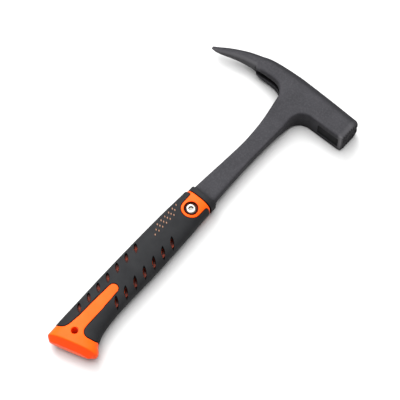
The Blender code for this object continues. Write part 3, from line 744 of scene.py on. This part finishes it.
def make_grip(material):
    """Soft skin round the core, with windows through it and pits for the studs."""
    grip = loft("grip", handle_rings(0.0, GRIP_TOP_Y))
    combine(grip, "DIFFERENCE",
            loft("inside", handle_rings(GRIP_THICKNESS - GAP, CORE_TOP_Y + INSIDE_PAST)),
            prism("panel", escutcheon_outline(GAP), -CUT_Z, CUT_Z),
            prism("panel", stripe_outline(GAP), -CUT_Z, CUT_Z))
    soften(grip, FINE_VOXEL, FINE_ROUNDS)
    combine(grip, "DIFFERENCE", *window_cutters(GRIP_THICKNESS + WINDOW_BELOW_GRIP))
    pits = []
    for x, y in stud_places():
        pits += both_cheeks("pit", lens(x, y, PIT_LENGTH, PIT_WIDTH, STUD_POINT),
                            handle_surface_z(x, y) - PIT_DEPTH, PIT_TOP_Z)
    combine(grip, "DIFFERENCE", *pits)
    return place(grip, material, "soft_black", "soft_grip")


def make_studs(material):
    """Small hard studs that come through the grip below the screw."""
    studs = []
    for x, y in stud_places():
        base = handle_surface_z(x, y)
        for side in (-1, 1):
            rings = []
            for rise, size in STUD_RINGS:
                outline = lens(x, y, STUD_LENGTH * size, STUD_WIDTH * size, STUD_POINT)
                rings.append([(px, py, side * (base + rise)) for px, py in outline])
            studs.append(loft("grip_studs", rings))
    group = combine(studs[0], "UNION", *studs[1:])
    return place(group, material, "hard_orange")


def make_core(material):
    """Hard moulding inside the grip, which shows as the butt, stripe, screw panel and neck."""
    rings = handle_rings(GRIP_THICKNESS, GRIP_TOP_Y + GAP)
    rings.append(handle_ring(GRIP_TOP_Y + GAP + NEXT, CORE_NECK_INSET))
    rings.append(handle_ring(CORE_TOP_Y, CORE_NECK_INSET))
    core = loft("core", rings)
    for outline in (escutcheon_outline(0.0), stripe_outline(0.0)):
        skin = loft("skin", handle_rings(PANEL_SINK, CORE_TOP_Y - PANEL_STOP))
        combine(skin, "INTERSECT", prism("outline", outline, -CUT_Z, CUT_Z))
        combine(core, "UNION", skin)
    floor = HEAD_UNDERSIDE_Z - GAP
    combine(core, "DIFFERENCE", rod("head_recess", HEAD_RECESS_RADIUS, floor, CUT_Z, SCREW_AT),
            rod("nut_recess", HEAD_RECESS_RADIUS, -CUT_Z, -floor, SCREW_AT),
            rod("lanyard_hole", LANYARD_RADIUS, -CUT_Z, CUT_Z, LANYARD_AT))
    soften(core, FINE_VOXEL, FINE_ROUNDS)
    combine(core, "DIFFERENCE", *window_cutters(GRIP_THICKNESS + WINDOW_SINK))
    return place(core, material, "hard_orange", "handle_core")


def collar_ring(y, inset):
    """Section of the collar, whose upper part dips over each cheek."""
    left, right = COLLAR_EDGES
    centre = (left + right) / 2
    rise = (y - COLLAR_BOTTOM_Y) / (COLLAR_TOP_Y - COLLAR_BOTTOM_Y)
    ring = []
    for k in range(HANDLE_SIDES):
        across, through = superellipse(2 * math.pi * k / HANDLE_SIDES)
        x = centre + ((right - left) / 2 - inset) * across
        ring.append((x, y - COLLAR_DIP * rise**2 * through**2, (COLLAR_HALF - inset) * through))
    return ring


def make_collar(material):
    rings = [collar_ring(COLLAR_BOTTOM_Y, COLLAR_CHAMFER),
             collar_ring(COLLAR_BOTTOM_Y + COLLAR_CHAMFER, 0.0)]
    shoulder = COLLAR_TOP_Y - COLLAR_ROUND
    for angle in [math.pi / 2 * k / 8 for k in range(9)]:
        rings.append(collar_ring(shoulder + COLLAR_ROUND * math.sin(angle),
                                 COLLAR_ROUND_IN * COLLAR_ROUND * (1 - math.cos(angle))))
    collar = loft("collar", rings)
    bore = loft("bore", [shank_ring(y, *smooth_row(SHANK, y)) for y in spaced(*COLLAR_BORE, 1.0)])
    combine(collar, "DIFFERENCE", bore)
    soften(collar, COLLAR_VOXEL, COLLAR_ROUNDS)
    return place(collar, material, "soft_black", "shank_collar")


# -------------------- screw and sleeve nut

def button_head():
    """Domed head, from its middle outwards and down to its underside."""
    rim = HEAD_UNDERSIDE_Z + HEAD_RIM
    flat = SOCKET_RADIUS + HEAD_LAND
    profile = [(0.0, HEAD_TOP_Z), (flat, HEAD_TOP_Z)]
    for k in range(1, 13):
        angle = math.pi / 2 * k / 12
        profile.append((flat + (HEAD_RADIUS - HEAD_CHAMFER - flat) * math.sin(angle),
                        rim + (HEAD_TOP_Z - rim) * math.cos(angle)))
    return profile + [(HEAD_RADIUS, rim - HEAD_RIM_ROUND),
                      (HEAD_RADIUS, HEAD_UNDERSIDE_Z + HEAD_CHAMFER),
                      (HEAD_RADIUS - HEAD_CHAMFER, HEAD_UNDERSIDE_Z)]


def socket_cutters(side):
    """Hexagon socket with a chamfered mouth, in a head that looks up or down."""
    low, high = sorted((side * (HEAD_TOP_Z - SOCKET_DEPTH), side * (HEAD_TOP_Z + CUT_PAST)))
    socket = rod("socket", SOCKET_RADIUS, low, high, SCREW_AT, sides=6)
    rings = [[(x, y, side * (HEAD_TOP_Z + rise)) for x, y in round_outline(radius, SCREW_AT)]
             for rise, radius in MOUTH_RINGS]
    return [socket, loft("mouth", rings)]


def make_screw(material):
    profile = button_head()
    profile += [(SCREW_RADIUS, HEAD_UNDERSIDE_Z), (SCREW_RADIUS, SCREW_END_Z + SCREW_CHAMFER),
                (SCREW_RADIUS - SCREW_CHAMFER, SCREW_END_Z), (0.0, SCREW_END_Z)]
    screw = turned("screw", profile, SCREW_AT, sides=96)
    combine(screw, "DIFFERENCE", *socket_cutters(1))
    return place(screw, material, "zinc_screw", "clamp_screw")


def make_nut(material):
    """Sleeve nut on the far cheek, with a head like the screw's."""
    head = [(radius, -height) for radius, height in reversed(button_head())]
    floor = SOCKET_DEPTH + NUT_WALL - HEAD_TOP_Z
    bore = SCREW_RADIUS + GAP
    profile = [(0.0, floor), (bore, floor), (bore, NUT_END_Z), (NUT_RADIUS, NUT_END_Z),
               (NUT_RADIUS, -HEAD_UNDERSIDE_Z)]
    nut = turned("nut", profile + head, SCREW_AT, sides=96)
    combine(nut, "DIFFERENCE", *socket_cutters(-1))
    return place(nut, material, "zinc_screw", "sleeve_nut")


# -------------------- materials

class Paint:
    """A Principled material with small helpers for its nodes. Texture space is in millimetres."""

    def __init__(self, name, roughness, metallic=0.0):
        self.material = bpy.data.materials.new(name)
        self.material.use_nodes = True
        self.tree = self.material.node_tree
        self.shader = self.tree.nodes["Principled BSDF"]
        self.shader.inputs["Roughness"].default_value = roughness
        self.shader.inputs["Metallic"].default_value = metallic
        place_in_mm = self.add("ShaderNodeVectorMath")
        place_in_mm.operation = "SCALE"
        place_in_mm.inputs["Scale"].default_value = 1 / MM
        self.link(self.add("ShaderNodeTexCoord").outputs["Object"], place_in_mm.inputs[0])
        self.at = place_in_mm.outputs["Vector"]

    def add(self, kind):
        return self.tree.nodes.new(kind)

    def link(self, source, target):
        self.tree.links.new(source, target)

    def set(self, **sockets):
        for name, value in sockets.items():
            self.shader.inputs[name.replace("_", " ")].default_value = value

    def work_out(self, operation, *values):
        """Result of a maths node over values, each a number or another node's output."""
        node = self.add("ShaderNodeMath")
        node.operation = operation
        for socket, value in zip(node.inputs, values):
            if isinstance(value, float):
                socket.default_value = value
            else:
                self.link(value, socket)
        return node.outputs[0]

    def noise(self, size, detail=2.0, roughness=0.5, at=None):
        """Noise with features about size millimetres across."""
        node = self.add("ShaderNodeTexNoise")
        node.inputs["Scale"].default_value = 1 / size
        node.inputs["Detail"].default_value = detail
        node.inputs["Roughness"].default_value = roughness
        self.link(at or self.at, node.inputs["Vector"])
        return node.outputs["Fac"]

    def clouds(self, size, detail=2.0, roughness=0.5, at_low=0.0, at_high=1.0):
        """Noise whose usual range is mapped to a range of values."""
        return self.ramp(self.noise(size, detail, roughness), 0.3, 0.7, at_low, at_high)

    def stretched(self, x, y, z):
        """The point being shaded, with each axis scaled by its own factor."""
        node = self.add("ShaderNodeVectorMath")
        node.operation = "MULTIPLY"
        node.inputs[1].default_value = (x, y, z)
        self.link(self.at, node.inputs[0])
        return node.outputs["Vector"]

    def along(self, axis):
        """Distance from the hammer's own origin along X, Y or Z."""
        node = self.add("ShaderNodeSeparateXYZ")
        self.link(self.at, node.inputs[0])
        return self.work_out("SUBTRACT", node.outputs[axis], ORIGIN["XYZ".index(axis)] / MM)

    def facing_crown(self):
        """1 where the surface faces along the handle towards the crown, and below 0 facing away."""
        node = self.add("ShaderNodeSeparateXYZ")
        self.link(self.add("ShaderNodeTexCoord").outputs["Normal"], node.inputs[0])
        return node.outputs["Y"]

    def within(self, value, middle, half):
        """1 nearer than a half width to a middle value, and 0 farther away."""
        return self.work_out("COMPARE", value, middle, half)

    def cells(self, size):
        """Distance to the middle of rounded cells about size millimetres across."""
        node = self.add("ShaderNodeTexVoronoi")
        node.feature = "SMOOTH_F1"
        node.inputs["Scale"].default_value = 1 / size
        self.link(self.at, node.inputs["Vector"])
        return node.outputs["Distance"]

    def ramp(self, source, low, high, at_low=0.0, at_high=1.0):
        """A source mapped to a range of values."""
        node = self.add("ShaderNodeMapRange")
        node.inputs["From Min"].default_value = low
        node.inputs["From Max"].default_value = high
        node.inputs["To Min"].default_value = at_low
        node.inputs["To Max"].default_value = at_high
        self.link(source, node.inputs["Value"])
        return node.outputs["Result"]

    def mix(self, factor, first, second):
        """A colour between two colours, each a tuple or another node's output."""
        node = self.add("ShaderNodeMix")
        node.data_type = "RGBA"
        self.link(factor, node.inputs["Factor"])
        for socket, value in ((node.inputs["A"], first), (node.inputs["B"], second)):
            if isinstance(value, tuple):
                socket.default_value = (*value, 1.0)
            else:
                self.link(value, socket)
        return node.outputs["Result"]

    def openness(self, reach):
        """1 in the open and less inside recesses, looking a reach in millimetres around."""
        node = self.add("ShaderNodeAmbientOcclusion")
        node.samples = 8
        node.inputs["Distance"].default_value = reach * MM
        return node.outputs["AO"]

    def edges(self, low, high):
        """1 on outer edges and 0 elsewhere, from how sharply the surface turns."""
        return self.ramp(self.add("ShaderNodeNewGeometry").outputs["Pointiness"], low, high)

    def multiply(self, first, second):
        return self.work_out("MULTIPLY", first, second)

    def colour(self, source):
        self.link(source, self.shader.inputs["Base Color"])

    def roughness(self, source):
        self.link(source, self.shader.inputs["Roughness"])

    def bump(self, *layers):
        """Bump layers of (height output, depth in millimetres)."""
        before = None
        for height, depth in layers:
            node = self.add("ShaderNodeBump")
            node.inputs["Strength"].default_value = 1.0
            node.inputs["Distance"].default_value = depth * MM
            self.link(height, node.inputs["Height"])
            if before is not None:
                self.link(before, node.inputs["Normal"])
            before = node.outputs["Normal"]
        self.link(before, self.shader.inputs["Normal"])


def coated_steel():
    """Satin dark grey coating over shot-blasted forged steel, worn on its edges.

    Its colour has painted shade on the crown, in recesses, near the floor and on the pad, a painted
    highlight round the striking face, and painted floor light under the pick.
    """
    paint = Paint("coated_steel", 0.6)
    paint.set(Specular_IOR_Level=0.04)
    cloud = paint.clouds(22.0, 3.0, 0.6)
    grit = paint.clouds(0.9, 2.0, 0.6)
    base = paint.mix(cloud, (0.0270, 0.0265, 0.0295), (0.0340, 0.0332, 0.0372))
    base = paint.mix(paint.ramp(paint.noise(1.8, 3.0, 0.7), 0.45, 0.75, 0.0, 0.60), base,
                     (0.050, 0.049, 0.054))
    # Painted highlight: lighter colour towards the striking face, and a light band on the poll's
    # underside next to it, where the rounded edges catch the light.
    near_face = paint.ramp(paint.along("X"), 54.0, 58.5, 0.0, 0.42)
    base = paint.mix(near_face, base, (0.080, 0.078, 0.083))
    below = paint.ramp(paint.along("Y"), POLL_UNDERSIDE_Y + 2.5, POLL_UNDERSIDE_Y + 0.4, 0.0, 0.8)
    base = paint.mix(paint.multiply(near_face, below), base, (0.30, 0.29, 0.30))
    # Painted shade: darker colour where the surface faces the crown, away from the light.
    crown = paint.ramp(paint.facing_crown(), 0.02, 0.40, 0.0, 0.62)
    base = paint.mix(crown, base, (0.010, 0.010, 0.011))
    # Painted shade: darker colour in the recessed pad on the poll's underside.
    pad = paint.multiply(paint.within(paint.along("X"), PAD_CENTRE_X, PAD_LENGTH / 2),
                         paint.within(paint.along("Z"), 0.0, PAD_WIDTH / 2))
    pad = paint.multiply(pad, paint.within(paint.along("Y"), POLL_UNDERSIDE_Y, 1.5))
    base = paint.mix(pad, base, (0.012, 0.012, 0.013))
    # Painted shade: darker colour in recesses and on faces near the floor, from occlusion at three
    # reaches.
    for reach, low, high in ((2.0, 0.40, 0.90), (8.0, 0.25, 0.90), (20.0, 0.20, 0.95)):
        base = paint.mix(paint.ramp(paint.openness(reach), low, high), (0.004, 0.004, 0.0045), base)
    # Painted light: lighter colour on the pick's underside, standing in for light from the floor below
    # it.
    floor_light_under_pick = paint.multiply(paint.ramp(paint.along("X"), -42.0, -52.0),
                            paint.ramp(paint.facing_crown(), -0.10, -0.60, 0.0, 0.55))
    base = paint.mix(floor_light_under_pick, base, (0.085, 0.083, 0.087))
    worn = paint.multiply(paint.edges(0.56, 0.64), paint.ramp(paint.noise(5.0, 4.0, 0.7), 0.42, 0.62))
    paint.colour(paint.mix(paint.ramp(worn, 0.0, 1.0, 0.0, 0.5), base, (0.085, 0.083, 0.086)))
    paint.roughness(paint.clouds(7.0, 4.0, 0.6, 0.52, 0.66))
    paint.bump((grit, 0.035), (paint.cells(0.7), 0.02), (paint.noise(9.0, 2.0), 0.10))
    return paint.material


def soft_black():
    """Matt elastomer with a fine moulded grain, slightly polished by handling, with painted shade in
    recesses.
    """
    paint = Paint("soft_black", 0.6)
    paint.set(Specular_IOR_Level=0.05)
    cloud = paint.clouds(18.0, 3.0, 0.6)
    base = paint.mix(cloud, (0.0150, 0.0153, 0.0165), (0.0200, 0.0204, 0.0216))
    dust = paint.ramp(paint.noise(0.8, 3.0, 0.7), 0.60, 0.80, 0.0, 0.35)
    base = paint.mix(dust, base, (0.040, 0.040, 0.042))
    # Painted shade: near-black colour inside windows, pits and other recesses, from occlusion.
    open_share = paint.ramp(paint.openness(3.0), 0.55, 0.95)
    paint.colour(paint.mix(open_share, (0.0010, 0.0010, 0.0010), base))
    paint.roughness(paint.clouds(11.0, 4.0, 0.6, 0.58, 0.74))
    paint.bump((paint.cells(0.55), 0.03), (paint.noise(0.4, 2.0), 0.02), (paint.noise(14.0), 0.08))
    return paint.material


def hard_orange():
    """Fine-grained moulded plastic, with painted shade on the butt's bevel and in recesses and painted
    light on its flat end.
    """
    paint = Paint("hard_orange", 0.42)
    paint.set(Specular_IOR_Level=0.07)
    cloud = paint.clouds(15.0, 3.0, 0.6)
    base = paint.mix(cloud, (0.93, 0.082, 0.004), (0.95, 0.096, 0.008))
    streaks = paint.noise(2.2, 5.0, 0.75, paint.stretched(1.0, 0.25, 1.0))
    base = paint.mix(paint.ramp(streaks, 0.62, 0.75, 0.0, 0.22), base, (0.75, 0.085, 0.02))
    # Painted shade: deeper orange on the butt's bevel, which faces away from the light.
    bevel = paint.ramp(paint.facing_crown(), -0.45, -0.75)
    base = paint.mix(bevel, base, (0.93, 0.060, 0.002))
    # Painted light: paler colour on the butt's flat end, standing in for light bounced from the floor.
    flat_end = paint.ramp(paint.facing_crown(), -0.93, -0.98)
    base = paint.mix(flat_end, base, (0.90, 0.200, 0.100))
    # Painted shade: dark red colour inside windows, the screw's recess, the lanyard hole and seams,
    # from occlusion.
    open_share = paint.ramp(paint.openness(3.0), 0.50, 0.90)
    paint.colour(paint.mix(open_share, (0.030, 0.004, 0.002), base))
    paint.roughness(paint.clouds(6.0, 4.0, 0.6, 0.36, 0.50))
    paint.bump((paint.cells(0.45), 0.018), (paint.noise(12.0), 0.05))
    return paint.material


def pale_studs():
    """Moulded plastic of the small studs, pale in colour, partly as a painted highlight on their tops.
    """
    paint = Paint("pale_studs", 0.5)
    paint.set(Specular_IOR_Level=0.2)
    cloud = paint.clouds(4.0, 3.0)
    # Painted highlight, in part: the pale colour also stands in for the shine on the studs' domed
    # tops.
    paint.colour(paint.mix(cloud, (0.26, 0.145, 0.10), (0.19, 0.10, 0.065)))
    paint.roughness(paint.clouds(1.5, 3.0, 0.5, 0.42, 0.58))
    paint.bump((paint.noise(0.4, 2.0), 0.01))
    return paint.material


def zinc_screw():
    """Bright zinc with faint turning lines about the screw's axis."""
    paint = Paint("zinc_screw", 0.26, 1.0)
    about = paint.add("ShaderNodeVectorMath")
    about.operation = "DISTANCE"
    centre = (ORIGIN + Vector((SCREW_AT[0], SCREW_AT[1], 0.0)) * MM) / MM
    about.inputs[1].default_value = (centre.x, centre.y, 0.0)
    paint.link(paint.stretched(1.0, 1.0, 0.0), about.inputs[0])
    rings = paint.add("ShaderNodeTexNoise")
    rings.noise_dimensions = "1D"
    rings.inputs["Scale"].default_value = 5.0
    paint.link(about.outputs["Value"], rings.inputs["W"])
    spots = paint.ramp(paint.noise(1.1, 4.0, 0.7), 0.5, 0.8)
    base = paint.mix(spots, (0.34, 0.32, 0.29), (0.18, 0.17, 0.16))
    # Painted shade: darker colour inside the hex socket.
    inside = paint.ramp(about.outputs["Value"], SOCKET_RADIUS + 0.1, SOCKET_RADIUS - 0.3)
    paint.colour(paint.mix(inside, base, (0.10, 0.095, 0.088)))
    paint.roughness(paint.ramp(rings.outputs["Fac"], 0.3, 0.7, 0.20, 0.34))
    paint.bump((rings.outputs["Fac"], 0.02), (paint.noise(0.5, 3.0), 0.008))
    return paint.material


def nickel():
    """Dull nickel plating of the magnet."""
    paint = Paint("nickel", 0.35, 1.0)
    cloud = paint.clouds(1.3, 4.0, 0.7)
    paint.colour(paint.mix(cloud, (0.30, 0.30, 0.31), (0.42, 0.41, 0.40)))
    paint.roughness(paint.clouds(0.6, 3.0, 0.5, 0.28, 0.45))
    paint.bump((paint.noise(0.5, 3.0), 0.01))
    return paint.material


def pale_floor():
    """Plain matt surface of the floor."""
    paint = Paint("pale_floor", 0.75)
    paint.set(Specular_IOR_Level=0.1)
    paint.colour(paint.mix(paint.noise(300.0), (0.520, 0.520, 0.520), (0.530, 0.530, 0.530)))
    return paint.material


# -------------------- floor, light and camera

def make_floor():
    """A wide plane just below the hammer's lowest point."""
    bm = bmesh.new()
    bmesh.ops.create_grid(bm, x_segments=1, y_segments=1, size=FLOOR_SIZE / 2)
    floor = object_from_mesh("floor", bm)
    floor.location.z = CAD_BOX[0].z - FLOOR_DROP * MM
    floor.data.materials.append(pale_floor())


def point_at(thing, back):
    """Turn a lamp or camera to look against a direction."""
    thing.rotation_mode = "QUATERNION"
    thing.rotation_quaternion = (-back).to_track_quat("-Z", "Y")


def direction(azimuth, elevation):
    """Unit vector from the object towards a viewer or lamp."""
    return Vector((math.sin(azimuth) * math.cos(elevation), -math.cos(azimuth) * math.cos(elevation),
                   math.sin(elevation)))


def make_sun(name, strength, azimuth, elevation, spread):
    lamp = bpy.data.lights.new(name, "SUN")
    lamp.energy = strength
    lamp.angle = math.radians(spread)
    point_at(add_object(name, lamp), direction(math.radians(azimuth), math.radians(elevation)))


def make_world():
    """An even pale surround that is brighter overhead than at the horizon."""
    world = bpy.data.worlds.new("studio")
    bpy.context.scene.world = world
    world.use_nodes = True
    tree = world.node_tree
    split = tree.nodes.new("ShaderNodeSeparateXYZ")
    tree.links.new(tree.nodes.new("ShaderNodeTexCoord").outputs["Generated"], split.inputs[0])
    rise = tree.nodes.new("ShaderNodeMapRange")
    rise.inputs["To Min"].default_value = WORLD_AT_HORIZON
    rise.inputs["To Max"].default_value = WORLD_OVERHEAD
    tree.links.new(split.outputs["Z"], rise.inputs["Value"])
    tree.links.new(rise.outputs["Result"], tree.nodes["Background"].inputs["Strength"])
    tree.nodes["Background"].inputs["Color"].default_value = (1.0, 1.0, 1.0, 1.0)


def make_camera():
    data = bpy.data.cameras.new("camera")
    data.lens = CAMERA_LENS
    data.sensor_width = CAMERA_SENSOR
    data.clip_start, data.clip_end = CAMERA_CLIP
    camera = add_object("camera", data)
    back = direction(CAMERA_AZIMUTH, CAMERA_ELEVATION)
    camera.location = ORIGIN + Vector(CAMERA_AIM) * MM + back * CAMERA_DISTANCE
    point_at(camera, back)
    bpy.context.scene.camera = camera


def make_setting():
    make_floor()
    make_world()
    make_sun("key", *KEY_SUN)
    make_sun("overhead", *OVERHEAD_SUN)
    make_camera()
    bpy.context.scene.view_settings.view_transform = "Standard"


def main():
    steel, black, orange, zinc = coated_steel(), soft_black(), hard_orange(), zinc_screw()
    make_forging(steel)
    make_magnet(nickel())
    make_core(orange)
    make_studs(pale_studs())
    make_grip(black)
    make_collar(black)
    make_screw(zinc)
    make_nut(zinc)
    make_setting()


main()
